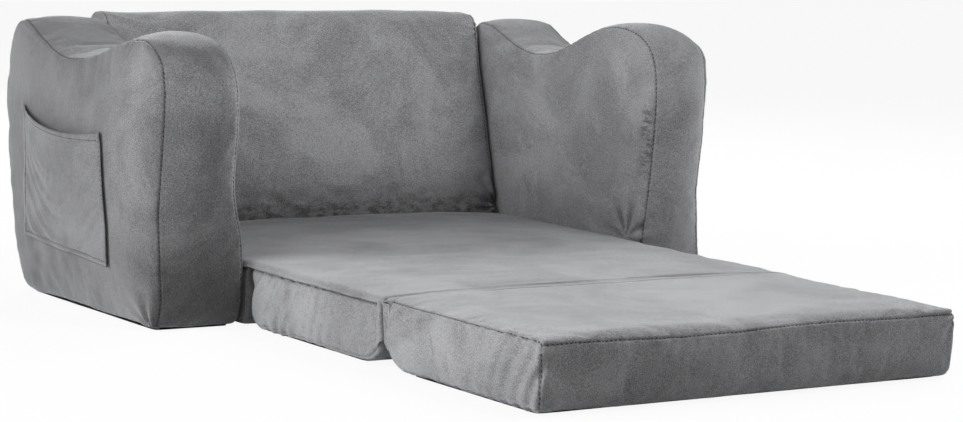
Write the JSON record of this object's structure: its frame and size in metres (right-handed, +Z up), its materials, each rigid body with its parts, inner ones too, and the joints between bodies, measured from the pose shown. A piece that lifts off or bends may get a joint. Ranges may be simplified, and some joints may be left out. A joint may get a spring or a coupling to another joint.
{
  "type": "kids flip open sofa",
  "caption": "Low child's sofa of soft foam blocks in plush cloth, with wavy arms, side pouches and a seat that flips open forwards into a flat lounger.",
  "frame": {"origin": "on the floor, under the middle of the opened sofa", "axes": "+X to the right when facing the sofa, along the width; +Y towards the back rest; +Z up"},
  "size_m": [0.8966, 1.0576, 0.3695],
  "materials": {
    "velvet": "matte",
    "foam": "matte",
    "lining": "matte",
    "zip_tape": "matte",
    "zip_metal": "satin"
  },
  "bodies": {
    "sofa": {"back_rest_cover": "velvet", "back_rest_foam": "foam", "back_rest_underside": "lining", "back_rest_zip": "zip_tape", "front_fold_flap": "velvet", "left_arm_cover": "velvet", "left_arm_foam": "foam", "left_arm_pouch": "velvet", "left_arm_underside": "lining", "right_arm_cover": "velvet", "right_arm_foam": "foam", "right_arm_pouch": "velvet", "right_arm_underside": "lining", "seat_base_cover": "velvet", "seat_base_foam": "foam", "seat_base_underside": "lining"},
    "middle": {"end_fold_tape": "velvet", "middle_section_cover": "velvet", "middle_section_foam": "foam", "middle_section_underside": "lining", "middle_section_zip": "zip_tape"},
    "end": {"end_section_cover": "velvet", "end_section_foam": "foam", "end_section_underside": "lining", "end_section_zip": "zip_tape"},
    "back_slider": {"back_rest_zip_slider": "zip_metal"},
    "middle_slider": {"middle_section_zip_slider": "zip_metal"},
    "end_slider": {"end_section_zip_slider": "zip_metal"}
  },
  "joints": [
    {"name": "middle_flip", "type": "hinge", "parent": "sofa", "child": "middle", "pos_m": [0, 0.077, 0.1305], "axis": [-1, 0, 0], "range_deg": [0, 150]},
    {"name": "end_fold", "type": "hinge", "parent": "middle", "child": "end", "pos_m": [0, -0.225, 0.0873], "axis": [-1, 0, 0], "range_deg": [0, 180]},
    {"name": "back_slider_run", "type": "slide", "parent": "sofa", "child": "back_slider", "axis": [-1, 0, 0], "range_m": [0, 0.394]},
    {"name": "middle_slider_run", "type": "slide", "parent": "middle", "child": "middle_slider", "axis": [1, 0, 0], "range_m": [0, 0.394]},
    {"name": "end_slider_run", "type": "slide", "parent": "end", "child": "end_slider", "axis": [-1, 0, 0], "range_m": [0, 0.394]}
  ]
}
